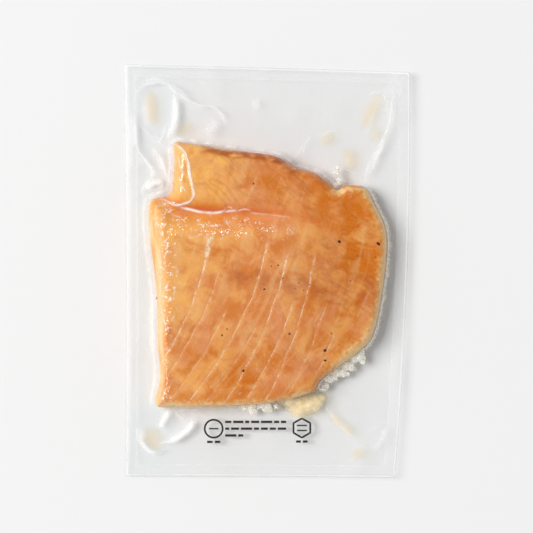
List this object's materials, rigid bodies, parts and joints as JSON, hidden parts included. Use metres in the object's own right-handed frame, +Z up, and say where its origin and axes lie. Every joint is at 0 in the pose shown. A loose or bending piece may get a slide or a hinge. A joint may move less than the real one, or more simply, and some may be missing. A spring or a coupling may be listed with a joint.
{
  "type": "salmon portion sealed in a clear pouch",
  "caption": "Portion of salmon fillet sealed in a flat clear film pouch, with a fold across one end, pale flake lines, brine stains and crumbs of fat.",
  "frame": {"origin": "middle of the pouch's length and width, on the surface that it lies on", "axes": "+X to the pouch's right, +Y along its length towards the end with the fold in the fish, +Z up out of the upper face"},
  "size_m": [0.16, 0.231, 0.0212],
  "materials": {
    "salmon_in_film": "orange salmon seen through tight glossy film",
    "clear_film": "clear glossy film, slightly hazy where it is sealed and creased",
    "salmon_flesh": "moist orange flesh with pale flake lines, a pale bevelled side and a brown band",
    "fat_and_jelly": "translucent pale yellow fat and jelly",
    "brine": "thin pale yellow liquid trapped under the film",
    "peppercorn": "dark brown specks",
    "print_ink": "black ink in plain shapes and dashes"
  },
  "bodies": {
    "root": {"sealed_pouch": "salmon_in_film"}
  },
  "joints": []
}
